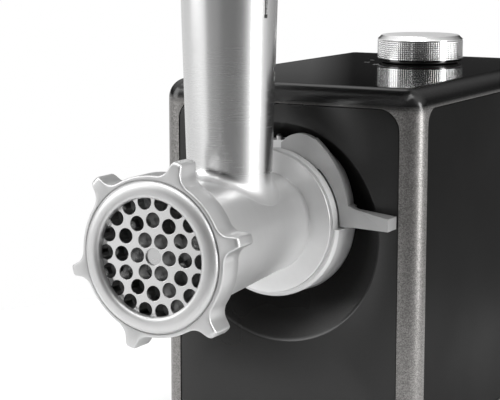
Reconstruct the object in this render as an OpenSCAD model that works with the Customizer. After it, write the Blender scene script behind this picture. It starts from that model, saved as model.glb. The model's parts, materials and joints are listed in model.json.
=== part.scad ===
// Electric meat grinder with a cast head, locked into a motor housing by a side lever.
// Every part is drawn about the drive axis: X to the right, Y to the back, Z up, with
// y = 0 in the plane of the front panel. placed() then stands the whole on the table.

/* [Housing] */
// Width of the housing
housing_w = 168; // [168:1:184]
// Offset of the housing's middle to the right of the drive axis
housing_shift = 5; // [0:0.5:5]
// Depth of the housing, front panel to rear wall
housing_d = 258; // [252:1:280]
// Height of the drive axis above the table
axis_h = 155; // [154:1:162]
// Height of the housing top above the drive axis
housing_top = 78; // [78:1:84]
// Radius of the housing's outer edges
edge_r = 12; // [8:1:14]
// Wall thickness of the housing
wall = 3; // [2.6:0.1:3.2]
// Height of the rubber feet
foot_h = 10; // [8:1:14]

/* [Front panel] */
// Half width of the front panel
panel_half_w = 72; // [71.5:0.5:72]
// Top edge of the front panel above the drive axis
panel_top = 67; // [64:0.5:68]
// Radius of the round recess behind the head
dish_r = 64; // [62:0.5:66]
// Drop of the recess's centre below the drive axis
dish_drop = 9; // [4:0.5:10]
// Depth of the round recess
dish_depth = 10; // [8:0.5:10]

/* [Head socket and lever] */
// Outer radius of the socket collar
collar_r = 45; // [44:0.5:47]
// Radius of the head's spigot in the collar
spigot_r = 36; // [35:0.1:36.2]
// Inner radius of the locking lever
lever_inner_r = 41; // [40.8:0.1:41.4]
// Reach of the lever's handle from the drive axis
lever_reach = 76; // [70:1:84]

/* [Grinding head] */
// Radius of the head's flange
flange_r = 42; // [41:0.5:44]
// Radius of the perforated plate
plate_r = 34.8; // [34.4:0.1:34.9]
// Radius of the opening in the ring nut
mouth_r = 31; // [28:0.5:32]
// Distance from the front panel to the front of the ring nut
head_reach = 141.6; // [141.6:0.2:146]
// Distance from the front panel to the axis of the feed tube
tube_y = 56.5; // [54:0.5:59]
// Height of the feed tube's rim above the drive axis
tube_top = 140; // [136:1:146]
// Wall thickness of the feed tube
tube_wall = 3.2; // [3:0.1:3.4]

/* [Ring nut] */
// Radius to the tips of the ring nut's lugs
lug_tip_r = 52; // [50:0.5:54]
// Number of lugs on the ring nut
lug_count = 6; // [4:1:6]
// Angle of the first lug from the right
lug_phase = 13.5; // [0:0.5:59]

/* [Tray and pusher] */
// Width of the hopper tray
tray_w = 178; // [160:2:180]
// Length of the hopper tray
tray_l = 190; // [180:2:200]
// Height of the hopper tray's wall
tray_h = 38; // [34:1:44]
// Radius of the food pusher
pusher_r = 19.4; // [18.6:0.1:19.6]

/* [Speed knob] */
// Radius of the speed knob
knob_r = 28.5; // [26:0.5:29]
// Height of the speed knob
knob_h = 17; // [16.5:0.5:22]
// Position of the knob to the right of the drive axis
knob_x = 9; // [0:1:30]
// Position of the knob behind the front panel
knob_y = 187; // [170:1:192]

/* [Gear train] */
// Teeth of the pinion on the motor shaft
motor_teeth = 10; // [10]
// Teeth of the first large gear
first_teeth = 50; // [50]
// Teeth of each small pinion in the train
pinion_teeth = 12; // [12]
// Teeth of the second large gear
second_teeth = 48; // [48]
// Teeth of the output gear
output_teeth = 36; // [36]

/* [Hidden] */
$fn = 72;
eps = 0.01;

// Colours
coated_grey = [0.36, 0.35, 0.34];
panel_grey = [0.22, 0.22, 0.23];
gloss_black = [0.05, 0.05, 0.06];
cast_alloy = [0.72, 0.72, 0.72];
bright_steel = [0.82, 0.83, 0.84];
dark_plastic = [0.13, 0.13, 0.14];
black_rubber = [0.08, 0.08, 0.08];
bronze = [0.72, 0.52, 0.28];
copper = [0.78, 0.42, 0.22];
nylon = [0.86, 0.84, 0.76];
board_green = [0.12, 0.36, 0.22];

// Heights and depths that follow from the driving dimensions
gland_out = 6;
front_y = (head_reach - housing_d - gland_out) / 2;
floor_z = -axis_h;
shell_z = floor_z + foot_h;
half_w = housing_w / 2;
left_x = housing_shift - half_w;
right_x = housing_shift + half_w;
base_t = 4;
fit_gap = 0.3;

// Socket, from the front of its collar to the back of its flange
collar_front = -11.5;
groove_front = -5;
groove_back = 4.6;
lever_front = -4.4;
lever_step = -0.2;
lever_back = 4;
lever_rear_r = 51.4;
panel_t = 2.5;
socket_flange_r = 60;
socket_back = 17;
socket_screw_r = 52;
socket_screw_angles = [35, 145, 215, 325];

// Gearbox
gb_x0 = -56;
gb_x1 = 72;
gb_z0 = -110;
gb_z1 = 56;
gb_wall = 4;
gb_front_t = 6;
gb_back = 76;
cover_t = 6;
cover_back = gb_back + cover_t;

// Gear modules, face positions and shaft centres
first_module = 1.25;
second_module = 1.5;
output_module = 2;
output_face = [30, 46];
second_face = [48, 60];
first_face = [62, 72];
second_dir = -57;
first_dir = -141;
motor_dir = 76;
second_dist = output_module * (pinion_teeth + output_teeth) / 2;
first_dist = second_module * (pinion_teeth + second_teeth) / 2;
motor_dist = first_module * (motor_teeth + first_teeth) / 2;
second_at = second_dist * [cos(second_dir), sin(second_dir)];
first_at = second_at + first_dist * [cos(first_dir), sin(first_dir)];
motor_at = first_at + motor_dist * [cos(motor_dir), sin(motor_dir)];
gear_shaft_r = 5;
run_gap = 0.04;
gb_boss_at = [
  [gb_x0 + 6, gb_z1 - 6], [gb_x1 - 6, gb_z1 - 6], [gb_x0 + 6, gb_z0 + 6],
  [gb_x1 - 6, gb_z0 + 6], [gb_x0 + 6, -17], [gb_x1 - 6, 8]
];

// Motor, from the gearbox cover to its rear bearing
bracket_r = 46;
bracket_in_r = 42;
bracket_end_t = 4;
core_r = 45;
core_front = 106;
core_back = 150;
rear_end_front = 178;
bearing_r = 11;
bearing_w = 7;
motor_shaft_r = 4;
armature_r = 22.8;
commutator_r = 12;
bolt_offset = 34;

// Head
flange_front = -15.8;
flange_back = -11.8;
spigot_back = 10;
mouth_front = -(head_reach - 6.2);
mouth_in_r = 35;
thread_r = 38;
plate_front = -(head_reach - 5.2);
plate_t = 8;
knife_front = plate_front + plate_t + 0.2;
knife_t = 6;
auger_front = knife_front + knife_t + 0.3;
auger_back = -13;
auger_r_front = 28.8;
auger_r_back = 23.6;
barrel_gap = 0.7;
bush_front = -12.5;
shank_r = 12;
hex_af = 17.6;
tube_r0 = 22.6;
tube_flare = 0.0294;
slot_w = 2.6;
slot_z = tube_top - 20.5;
slot_angle = -12;

// Knob
knob_z = housing_top + 1.5;
switch_shaft_r = 3;

// ---- helpers ----

// Stands a part, drawn about the drive axis, on the table
module placed() translate([0, front_y, axis_h]) children();

// Plate between y0 and y1, drawn in X and Z
module slab_y(y0, y1) translate([0, y1, 0]) rotate([90, 0, 0]) linear_extrude(height = y1 - y0) children();

// Plate between x0 and x1, drawn in Y and Z
module slab_x(x0, x1) translate([x0, 0, 0]) rotate([90, 0, 90]) linear_extrude(height = x1 - x0) children();

// Plate between z0 and z1, drawn in X and Y
module slab_z(z0, z1) translate([0, 0, z0]) linear_extrude(height = z1 - z0) children();

// Round bar along Y
module bar_y(r, y0, y1) translate([0, y1, 0]) rotate([90, 0, 0]) cylinder(r = r, h = y1 - y0);

// Round bar along Z
module bar_z(r, z0, z1) translate([0, 0, z0]) cylinder(r = r, h = z1 - z0);

// Ring along Y
module ring_y(r_out, r_in, y0, y1) difference() {
  bar_y(r_out, y0, y1);
  bar_y(r_in, y0 - 1, y1 + 1);
}

// Body turned about the drive axis from [radius, y] points
module turned_y(points) rotate([-90, 0, 0]) rotate_extrude() polygon(points);

// Rectangle with round corners
module round_rect(x0, x1, y0, y1, r) {
  translate([x0 + r, y0]) square([x1 - x0 - 2 * r, y1 - y0]);
  translate([x0, y0 + r]) square([x1 - x0, y1 - y0 - 2 * r]);
  for (x = [x0 + r, x1 - r], y = [y0 + r, y1 - r]) translate([x, y]) circle(r = r);
}

// Wedge of a circle between two angles, less than 180 degrees apart
module sector(r, a0, a1) polygon(concat(
  [[0, 0]], [for (i = [0:4]) let (a = a0 + (a1 - a0) * i / 4) r * [cos(a), sin(a)]]
));

// Children at [x, z] on the front view
module at_xz(p) translate([p[0], 0, p[1]]) children();

// Half angles of a gear tooth at its root, pitch and tip radii
function involute_deg(r, base) = let (t = sqrt(max((r / base) ^ 2 - 1, 0))) t * 180 / PI - atan(t);
function tooth_half(r, z, m, thin) = let (
  pitch = m * z / 2, base = pitch * cos(20)
) 90 / z - thin * 90 / PI / pitch + involute_deg(pitch, base) - involute_deg(r, base);

// Spur gear drawn in X and Z, with one tooth centred on the direction tooth_at
module gear_outline(z, m, tooth_at, thin = 0.34) {
  pitch = m * z / 2;
  root = pitch - 1.2 * m;
  tip = pitch + 0.9 * m;
  radii = [root, pitch, tip];
  halves = [for (r = radii) tooth_half(r, z, m, thin)];
  polygon([
    for (i = [0:z - 1]) for (k = [0:5]) let (
      level = k < 3 ? k : 5 - k,
      a = tooth_at + 360 / z * i + (k < 3 ? -1 : 1) * halves[level]
    ) radii[level] * [cos(a), sin(a)]
  ]);
}

// ---- housing ----

// Outer form of the housing, drawn in by inset
module housing_form(inset, r) intersection() {
  slab_z(shell_z, housing_top - inset)
    round_rect(left_x + inset, right_x - inset, inset, housing_d - inset, r);
  slab_y(0, housing_d) round_rect(left_x + inset, right_x - inset, floor_z - 40, housing_top - inset, r);
  slab_x(left_x, right_x) round_rect(inset, housing_d - inset, floor_z - 40, housing_top - inset, r);
}

// Outlines of the openings that the panels close
module centred(half, y0, y1, r, grow) round_rect(
  housing_shift - half - grow, housing_shift + half + grow, y0 - grow, y1 + grow, r + grow
);
module front_outline(grow) centred(panel_half_w, shell_z + 12, panel_top, 13, grow);
module side_outline(grow) round_rect(
  12.5 - grow, housing_d - 12.5 + grow, shell_z + 12 - grow, panel_top + grow, 10 + grow
);
module top_outline(grow) centred(71.5, 12.7, housing_d - 13, 12, grow);
module rear_outline(grow) centred(57, shell_z + 18, 55, 8, grow);

panel_gap = 0.3;
lip_w = 1.5;
lip_gap = 0.6;
lip_back = 2.2;
rear_screw_at = [for (x = [-63, 63], z = [shell_z + 30, 40]) [housing_shift + x, z]];

module body_shell() color(coated_grey) placed() difference() {
  housing_form(0, edge_r);
  housing_form(wall, edge_r - wall);
  slab_z(shell_z - 1, shell_z + 1) round_rect(
    left_x + wall, right_x - wall, wall, housing_d - wall, edge_r - wall
  );
  slab_y(-1, wall + 1) front_outline(0);
  slab_x(left_x - 1, left_x + wall + 1) side_outline(0);
  slab_x(right_x - wall - 1, right_x + 1) side_outline(0);
  slab_z(housing_top - wall - 1, housing_top + 1) top_outline(0);
  slab_y(housing_d - wall - 1, housing_d + 1) rear_outline(0);
  for (p = rear_screw_at) at_xz(p) bar_y(1.7, housing_d - wall - 1, housing_d + 1);
}

module front_panel() color(panel_grey) placed() {
  difference() {
    union() {
      slab_y(0.2, wall + lip_back) front_outline(-panel_gap);
      slab_y(wall + lip_gap, wall + lip_back) front_outline(lip_w);
    }
    at_xz([0, -dish_drop]) bar_y(dish_r, -1, wall + 4);
  }
  difference() {
    at_xz([0, -dish_drop]) turned_y([
      [dish_r + 2, 0.6], [dish_r + 0.9, 0.2], [dish_r - 1, 1], [dish_r - 3, 4.6], [dish_r - 5.4, dish_depth],
      [0, dish_depth], [0, dish_depth + panel_t], [dish_r - 4.4, dish_depth + panel_t],
      [dish_r - 1, wall + lip_back], [dish_r + 2, wall + lip_back]
    ]);
    bar_y(collar_r + 0.8, dish_depth - 1, dish_depth + panel_t + 1);
  }
}

// Side panel on the right; the left one is its mirror image
module side_panel() {
  slab_x(right_x - wall - lip_back, right_x - 0.5) side_outline(-panel_gap);
  slab_x(right_x - wall - lip_back, right_x - wall - lip_gap) side_outline(lip_w);
}

module right_side_panel() color(panel_grey) placed() side_panel();
module left_side_panel() color(panel_grey) placed()
  translate([2 * housing_shift, 0, 0]) mirror([1, 0, 0]) side_panel();

module top_plate() color(gloss_black) placed() difference() {
  union() {
    slab_z(housing_top - wall - lip_back, housing_top - 0.1) top_outline(-panel_gap);
    slab_z(housing_top - wall - lip_back, housing_top - wall - lip_gap) top_outline(lip_w);
  }
  translate([knob_x, knob_y, 0]) bar_z(5.4, housing_top - wall - 3, housing_top + 1);
}

vent_pitch = 7;
vent_count = 11;

module rear_cover() color(dark_plastic) placed() difference() {
  union() {
    slab_y(housing_d - wall - 0.1, housing_d - 0.4) rear_outline(-0.4);
    slab_y(housing_d - wall - 2, housing_d - wall - 0.1) rear_outline(11);
  }
  for (i = [0:vent_count - 1], side = [-1, 1])
    translate([side * 28, 0, -70 + i * vent_pitch])
      slab_y(housing_d - wall - 3, housing_d + 1) round_rect(-22, 22, -1.6, 1.6, 1.5);
  at_xz([44, shell_z + 34]) bar_y(9, housing_d - wall - 3, housing_d + 1);
  for (p = rear_screw_at) at_xz(p) bar_y(1.7, housing_d - wall - 3, housing_d);
}

// Pan-head screw along Y, with its head towards +Y
module screw_y(r, head_r, head_h, y_tip, y_seat) {
  bar_y(r, y_tip, y_seat + eps);
  difference() {
    turned_y([
      [0, y_seat], [head_r, y_seat], [head_r, y_seat + head_h * 0.6], [head_r * 0.6, y_seat + head_h],
      [0, y_seat + head_h]
    ]);
    for (a = [0, 90]) rotate([0, a, 0])
      translate([-head_r * 0.6, y_seat + head_h * 0.45, -0.4]) cube([head_r * 1.2, head_h, 0.8]);
  }
}

module rear_screws() color(bright_steel) placed()
  for (p = rear_screw_at) at_xz(p) screw_y(1.5, 3.2, 1.8, housing_d - 9, housing_d);

module cord_gland() color(dark_plastic) placed() at_xz([44, shell_z + 34]) difference() {
  turned_y([
    [0, housing_d - 10], [8.7, housing_d - 10], [8.7, housing_d], [12, housing_d],
    [12, housing_d + 2], [8, housing_d + gland_out], [0, housing_d + gland_out]
  ]);
  bar_y(4, housing_d - 12, housing_d + gland_out + 2);
}

foot_at = [for (x = [-63, 63], y = [22, housing_d - 22]) [housing_shift + x, y]];

module base_plate() color(dark_plastic) placed() {
  base_top = shell_z + base_t;
  post_top = gb_z0 - 0.05;
  difference() {
    union() {
      slab_z(shell_z, base_top) round_rect(
        left_x + wall + 0.2, right_x - wall - 0.2, wall + 0.2, housing_d - wall - 0.2, edge_r - wall
      );
      for (x = [-40, 40]) translate([x - 4, 24, base_top - eps]) cube([8, 50, post_top - base_top + eps]);
      translate([-30, 120, base_top - eps]) cube([60, 8, motor_at[1] - core_r + 8 - base_top]);
    }
    at_xz(motor_at) bar_y(core_r + 0.1, 118, 130);
    for (p = foot_at) translate([p[0], p[1], 0]) bar_z(2.2, shell_z - 1, base_top + 1);
  }
}

module rubber_feet() color(black_rubber) placed() for (p = foot_at) translate([p[0], p[1], floor_z])
  rotate_extrude() polygon([[2.2, 5], [4.6, 5], [4.6, 0], [10, 0], [11, 1.2], [12, foot_h], [2.2, foot_h]]);

module foot_screws() color(bright_steel) placed() for (p = foot_at) translate([p[0], p[1], floor_z]) {
  rotate_extrude() polygon([[0, 2.4], [3, 2.4], [4, 3.4], [4, 5], [2, 5], [2, foot_h + base_t + 6], [0, foot_h + base_t + 6]]);
}

// ---- gearbox ----

module gearbox_outline(grow) round_rect(gb_x0 - grow, gb_x1 + grow, gb_z0 - grow, gb_z1 + grow, 8 + grow);

module gearbox_housing() color(cast_alloy) placed() difference() {
  slab_y(socket_back, gb_back) gearbox_outline(0);
  difference() {
    slab_y(socket_back + gb_front_t, gb_back + 1) gearbox_outline(-gb_wall);
    for (p = gb_boss_at) at_xz(p) bar_y(5, socket_back, gb_back + 1);
    bar_y(24, socket_back, socket_back + gb_front_t + 4);
    at_xz(second_at) bar_y(8.5, socket_back, socket_back + gb_front_t + 4);
    at_xz(first_at) bar_y(9, socket_back, socket_back + gb_front_t + 20);
  }
  bar_y(20, socket_back - 1, gb_back);
  at_xz(second_at) bar_y(gear_shaft_r + 0.05, socket_back + 2, gb_back);
  at_xz(first_at) bar_y(gear_shaft_r + 0.05, socket_back + 2, gb_back);
  for (p = gb_boss_at) at_xz(p) bar_y(1.8, gb_back - 16, gb_back + 1);
  for (a = socket_screw_angles) at_xz(socket_screw_r * [cos(a), sin(a)]) bar_y(2.6, socket_back - 1, gb_back - 20);
}

module gearbox_cover() color(cast_alloy) placed() difference() {
  slab_y(gb_back, cover_back) gearbox_outline(0);
  bar_y(12, gb_back - 1, cover_back - 1);
  at_xz(second_at) bar_y(gear_shaft_r + 0.05, gb_back - 1, cover_back - 1.6);
  at_xz(first_at) bar_y(gear_shaft_r + 0.05, gb_back - 1, cover_back - 1.6);
  at_xz(motor_at) bar_y(9, gb_back - 1, cover_back + 1);
  at_xz(motor_at) for (s = [-1, 1]) translate([0, 0, s * bolt_offset]) bar_y(2.1, gb_back - 1, cover_back + 1);
  for (p = gb_boss_at) at_xz(p) bar_y(2.2, gb_back - 1, cover_back + 1);
}

module gearbox_screws() color(bright_steel) placed()
  for (p = gb_boss_at) at_xz(p) screw_y(1.7, 3.8, 3, gb_back - 12, cover_back);

module output_front_bush() color(bronze) placed() ring_y(19.95, 14 + run_gap, 14.5, 29);
module output_rear_bush() color(bronze) placed() ring_y(11.95, 8 + run_gap, gb_back - 3, cover_back - 1.05);

module first_gear_shaft() color(bright_steel) placed() at_xz(first_at)
  bar_y(gear_shaft_r, socket_back + 2.1, cover_back - 1.7);
module second_gear_shaft() color(bright_steel) placed() at_xz(second_at)
  bar_y(gear_shaft_r, socket_back + 2.1, cover_back - 1.7);

// Large gear pressed on its pinion's sleeve
module wheel(z, m, face, tooth_at, bore) difference() {
  slab_y(face[0], face[1]) gear_outline(z, m, tooth_at);
  bar_y(bore, face[0] - 1, face[1] + 1);
  pitch = m * z / 2;
  ring_y(pitch - 2.6 * m, bore + 5, face[0] - 1, face[0] + 2.5);
  ring_y(pitch - 2.6 * m, bore + 5, face[1] - 2.5, face[1] + 1);
}

// Directions of the teeth that keep every pair in mesh at rest
second_pinion_tooth = second_dir + 180 + 180 / pinion_teeth;
first_pinion_tooth = first_dir + 180 + 180 / pinion_teeth;
motor_pinion_tooth = motor_dir + 180 + 180 / motor_teeth;
sleeve_r = 7.5;

module output_gear() color(cast_alloy) placed()
  wheel(output_teeth, output_module, output_face, second_dir, 12.02);

module second_pinion() color(bright_steel) placed() at_xz(second_at) difference() {
  union() {
    slab_y(output_face[0], output_face[1]) gear_outline(pinion_teeth, output_module, second_pinion_tooth);
    bar_y(sleeve_r, output_face[1] - eps, second_face[1] + 2);
  }
  bar_y(gear_shaft_r + run_gap, output_face[0] - 1, second_face[1] + 3);
}

module second_gear() color(nylon) placed() at_xz(second_at)
  wheel(second_teeth, second_module, second_face, first_dir, sleeve_r + 0.02);

module first_pinion() color(bright_steel) placed() at_xz(first_at) difference() {
  union() {
    slab_y(second_face[0], second_face[1]) gear_outline(pinion_teeth, second_module, first_pinion_tooth, 0.3);
    bar_y(6.4, second_face[1] - eps, first_face[1] + 2);
  }
  bar_y(gear_shaft_r + run_gap, second_face[0] - 1, first_face[1] + 3);
}

module first_gear() color(nylon) placed() at_xz(first_at)
  wheel(first_teeth, first_module, first_face, motor_dir, 6.42);

module output_shaft() color(bright_steel) placed() difference() {
  turned_y([
    [0, 12], [14, 12], [14, 29.2], [16, 29.2], [16, 29.9], [12, 29.9], [12, 46.4], [8, 46.4], [8, 80.6], [0, 80.6]
  ]);
  translate([0, 28, 0]) rotate([90, 30, 0]) cylinder(r = (hex_af + 0.5) / sqrt(3), h = 20, $fn = 6);
}

// ---- motor ----

// Two long windows on each side of a motor bracket
module bracket_windows(y0, y1) for (a = [45, 135, 225, 315]) rotate([0, a, 0])
  translate([bracket_in_r - 4, y0, -9]) cube([12, y1 - y0, 18]);

module motor_front_bracket() color(cast_alloy) placed() at_xz(motor_at) difference() {
  union() {
    ring_y(bracket_r, bracket_in_r, cover_back, core_front);
    ring_y(bracket_r, bearing_r + 0.03, cover_back, cover_back + bracket_end_t);
    ring_y(15, bearing_r + 0.03, cover_back, cover_back + bracket_end_t + bearing_w);
  }
  bracket_windows(cover_back + 8, core_front - 5);
  for (s = [-1, 1]) translate([0, 0, s * bolt_offset]) bar_y(2.1, cover_back - 1, cover_back + 6);
}

module motor_rear_bracket() color(cast_alloy) placed() at_xz(motor_at) difference() {
  union() {
    ring_y(bracket_r, bracket_in_r, core_back, rear_end_front);
    ring_y(bracket_r, bearing_r + 0.03, rear_end_front, rear_end_front + bracket_end_t);
    ring_y(15, bearing_r + 0.03, rear_end_front, rear_end_front + bracket_end_t + 4);
  }
  bracket_windows(core_back + 5, rear_end_front - 5);
  for (s = [-1, 1]) translate([0, 0, s * bolt_offset])
    bar_y(2.1, rear_end_front - 1, rear_end_front + 6);
}

module bearing(y0) ring_y(bearing_r, motor_shaft_r + 0.03, y0, y0 + bearing_w);
module motor_front_bearing() color(bright_steel) placed() at_xz(motor_at) bearing(cover_back + 3.5);
module motor_rear_bearing() color(bright_steel) placed() at_xz(motor_at) bearing(rear_end_front + 0.5);

module stator_core() color([0.45, 0.45, 0.47]) placed() at_xz(motor_at) slab_y(core_front, core_back) {
  difference() {
    circle(r = core_r);
    circle(r = core_r - 7);
  }
  difference() {
    intersection() {
      circle(r = core_r - 6.9);
      square([100, 28], center = true);
    }
    circle(r = armature_r + 0.7);
  }
}

module field_coils() color(copper) placed() at_xz(motor_at) for (side = [-1, 1]) difference() {
  slab_x(side * 28 - 2.6, side * 28 + 2.6) round_rect(core_front - 3.2, core_back + 3.2, -20, 20, 5);
  slab_x(side * 28 - 4, side * 28 + 4)
    translate([core_front - 0.1, -14.1]) square([core_back - core_front + 0.2, 28.2]);
}

module motor_bolts() color(bright_steel) placed() at_xz(motor_at) for (s = [-1, 1])
  translate([0, 0, s * bolt_offset]) screw_y(2, 3.6, 3, cover_back + 0.3, rear_end_front + bracket_end_t);

module brush_holders() color(bronze) placed() at_xz(motor_at) for (side = [-1, 1]) difference() {
  translate([side * 28 - 12.5, 161, -4.5]) cube([25, 10, 9]);
  translate([side * 28 - 14, 162.9, -3.1]) cube([28, 6.2, 6.2]);
}

module carbon_brushes() color([0.15, 0.15, 0.15]) placed() at_xz(motor_at) for (side = [-1, 1])
  translate([side * 22.4 - 10, 163, -3]) cube([20, 6, 6]);

module motor_shaft() color(bright_steel) placed() at_xz(motor_at) {
  slab_y(first_face[0] - 1, first_face[1] + 1) gear_outline(motor_teeth, first_module, motor_pinion_tooth, 0.3);
  bar_y(motor_shaft_r, first_face[1] + 1 - eps, rear_end_front + 10);
}

module armature_core() color([0.5, 0.5, 0.52]) placed() at_xz(motor_at) slab_y(core_front, core_back) difference() {
  circle(r = armature_r);
  circle(r = motor_shaft_r + 0.02);
  for (i = [0:11]) rotate(i * 30) {
    translate([18, -1]) square([6, 2]);
    translate([16.5, 0]) circle(r = 2.6);
  }
}

module armature_windings() color(copper) placed() at_xz(motor_at) {
  turned_y([
    [6, core_front - 5.4], [17, core_front - 5.4], [19, core_front - 3], [19, core_front - 0.1], [6, core_front - 0.1]
  ]);
  turned_y([
    [6, core_back + 0.1], [19, core_back + 0.1], [19, core_back + 4], [14, core_back + 7], [6, core_back + 7]
  ]);
}

module commutator() color(copper) placed() at_xz(motor_at) slab_y(core_back + 8.5, core_back + 24) difference() {
  circle(r = commutator_r);
  circle(r = motor_shaft_r + 0.02);
  for (i = [0:23]) rotate(i * 15) translate([commutator_r - 1.4, -0.3]) square([3, 0.6]);
}

module cooling_fan() color(dark_plastic) placed() at_xz(motor_at) {
  ring_y(8, motor_shaft_r + 0.02, 93.6, 100);
  ring_y(30, 7.9, 93.6, 95);
  for (i = [0:11]) rotate([0, i * 30, 0]) translate([9, 94.9, -0.8]) cube([20.8, 4.9, 1.6]);
}

// ---- controls ----

module control_board() placed() {
  color(board_green) slab_z(56.4, 58) round_rect(-46, 58, 114, 206, 3);
  color(dark_plastic) for (p = [[-30, 130, 9], [-30, 156, 9], [-30, 182, 7], [44, 130, 6]])
    translate([p[0], p[1], 0]) bar_z(p[2], 56.4 - 22, 56.4 + eps);
  color(cast_alloy) translate([0, 122, 30]) cube([26, 4, 26.4 + eps]);
  color(dark_plastic) translate([34, 156, 40]) cube([18, 22, 16.4 + eps]);
}

module selector_switch() color(dark_plastic) placed() translate([knob_x, knob_y, 0]) difference() {
  union() {
    translate([-13, -13, 58]) cube([26, 26, 13]);
    bar_z(5, 71 - eps, housing_top + 2.6);
  }
  bar_z(switch_shaft_r + run_gap, 60, housing_top + 4);
}

module switch_nut() color(bright_steel) placed() translate([knob_x, knob_y, housing_top]) difference() {
  cylinder(r = 7, h = 2, $fn = 6);
  translate([0, 0, -1]) cylinder(r = 5.05, h = 4);
}

module switch_shaft() color(bright_steel) placed() translate([knob_x, knob_y, 0])
  bar_z(switch_shaft_r, 62, knob_z + 11);

module knob_hub() color(dark_plastic) placed() translate([knob_x, knob_y, 0]) difference() {
  union() {
    bar_z(knob_r - 3, housing_top + 0.4, knob_z + 1);
    bar_z(knob_r - 4.2, knob_z + 1 - eps, knob_z + knob_h - 5);
  }
  bar_z(8.6, housing_top, knob_z + 3);
  bar_z(switch_shaft_r + 0.02, knob_z + 2, knob_z + 11.5);
}

module speed_knob() color(bright_steel) placed() translate([knob_x, knob_y, knob_z]) rotate_extrude() polygon([
  [0, knob_h], [knob_r - 2.2, knob_h], [knob_r, knob_h - 1.8], [knob_r, 0.8], [knob_r - 0.6, 0], [knob_r - 2.8, 0],
  [knob_r - 2.8, 1.2], [knob_r - 4, 1.2], [knob_r - 4, knob_h - 4.8], [0, knob_h - 4.8]
]);

// ---- socket and lever ----

module lever_space(r_in) difference() {
  union() {
    sector(60, -3, 87);
    sector(60, 86, 134);
  }
  circle(r = r_in);
}

module head_socket() color(cast_alloy) placed() difference() {
  turned_y([
    [spigot_r + fit_gap, collar_front], [collar_r - 1.6, collar_front], [collar_r, collar_front + 1.6],
    [collar_r, dish_depth + panel_t + 0.2], [socket_flange_r, dish_depth + panel_t + 0.2],
    [socket_flange_r, socket_back], [spigot_r + fit_gap, socket_back]
  ]);
  // Space that the lever's arm turns in, behind a low lip, from under its handle to the far side
  slab_y(groove_front, groove_back) lever_space(lever_inner_r - 0.4);
  slab_y(collar_front - 1, groove_front + 1) lever_space(lever_inner_r + 0.8);
  for (a = socket_screw_angles) at_xz(socket_screw_r * [cos(a), sin(a)])
    bar_y(1.8, dish_depth + panel_t + 1.4, socket_back + 1);
  at_xz([-2.2, 0]) translate([0, groove_back + 2.2, 0]) bar_z(2.03, 39, 60);
}

module socket_screws() color(bright_steel) placed() for (a = socket_screw_angles)
  at_xz(socket_screw_r * [cos(a), sin(a)]) screw_y(1.7, 3.4, 3, dish_depth + panel_t + 2, socket_back + gb_front_t);

module detent_pin() color(bright_steel) placed() translate([-2.2, groove_back + 2.2, 0]) {
  bar_z(2, 39.2, 47.2);
  translate([0, 0, 47.2 - eps]) cylinder(r1 = 2, r2 = 1.1, h = 1);
}

// Crescent arm of the lever, drawn in X and Z: an eccentric arc with a full round end
module lever_arm() difference() {
  union() {
    intersection() {
      translate([-8, 4]) circle(r = 56);
      sector(70, -2, 62);
    }
    translate([16.8, 35]) circle(r = 15.6);
  }
  circle(r = lever_inner_r);
  intersection() {
    circle(r = lever_inner_r + 1.5);
    sector(60, -10, 47);
  }
  translate([-20, 20]) square([24.6, 40]);
  rotate(-2) translate([0, -30]) square([80, 30]);
}

module locking_lever() color(cast_alloy) placed() {
  slab_y(lever_front, lever_step) lever_arm();
  slab_y(lever_step - eps, lever_back) intersection() {
    lever_arm();
    circle(r = lever_rear_r);
  }
  intersection() {
    slab_y(-12.4, lever_back) polygon([
      [lever_inner_r + 4, -1.5], [lever_reach, -0.5], [lever_reach, 6.7], [53, 9.2], [lever_inner_r + 4, 12]
    ]);
    slab_z(-10, 20) polygon([
      [lever_inner_r + 4, lever_back], [lever_inner_r + 4, lever_front], [52, lever_front],
      [lever_reach, -12], [lever_reach, lever_step], [lever_rear_r - 2, lever_step], [lever_rear_r - 2, lever_back]
    ]);
  }
}

// ---- head ----

function tube_r(z) = tube_r0 + tube_flare * z;

// Upright cone about the feed tube's axis, offset from the tube's outer surface
module tube_cone(offset, z1) translate([0, -tube_y, 0])
  cylinder(r1 = tube_r(0) + offset, r2 = tube_r(z1) + offset, h = z1);

// Space inside the barrel, from the mouth to the drive end
module barrel_bore() turned_y([
  [0, mouth_front - 1], [mouth_in_r, mouth_front - 1], [mouth_in_r, auger_front - 1],
  [auger_r_front + barrel_gap, auger_front + 2], [auger_r_back + barrel_gap, auger_back + 0.4],
  [0, auger_back + 0.4]
]);

module head_casting() color(cast_alloy) placed() difference() {
  turned_y([
    [0, mouth_front], [thread_r, mouth_front], [thread_r, -117], [34.4, -111], [29.2, -21], [31.4, flange_front],
    [flange_r, flange_front], [flange_r, flange_back], [spigot_r, flange_back], [spigot_r, spigot_back], [0, spigot_back]
  ]);
  barrel_bore();
  bar_y(20, auger_back, spigot_back + 1);
  tube_cone(0.05, tube_top);
  translate([-1.55, mouth_front - 1, mouth_in_r - 1]) cube([3.1, 9, 3.1]);
}

module feed_tube() color(cast_alloy) placed() difference() {
  tube_cone(0, tube_top);
  barrel_bore();
  tube_cone(-tube_wall, tube_top + 1);
  translate([0, -tube_y, slot_z]) rotate([0, 0, slot_angle])
    translate([15, -slot_w / 2, 0]) cube([20, slot_w, 40]);
}

module auger_bush() color(bronze) placed() ring_y(19.95, shank_r + run_gap, bush_front, spigot_back);

module plate_key() color(bright_steel) placed()
  translate([-1.5, mouth_front + 0.4, mouth_in_r - 3]) cube([3, 7.4, 5]);

module auger_shank() color(bright_steel) placed() {
  bar_y(shank_r, auger_back + 1, spigot_back + 1.4);
  translate([0, 25, 0]) rotate([90, 30, 0]) cylinder(r = hex_af / sqrt(3), h = 15, $fn = 6);
  bar_y(9, auger_back - 12, auger_back + 1 + eps);
}

auger_turns = 3.2;
auger_core_r = 13;
auger_len = auger_back - auger_front;

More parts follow.
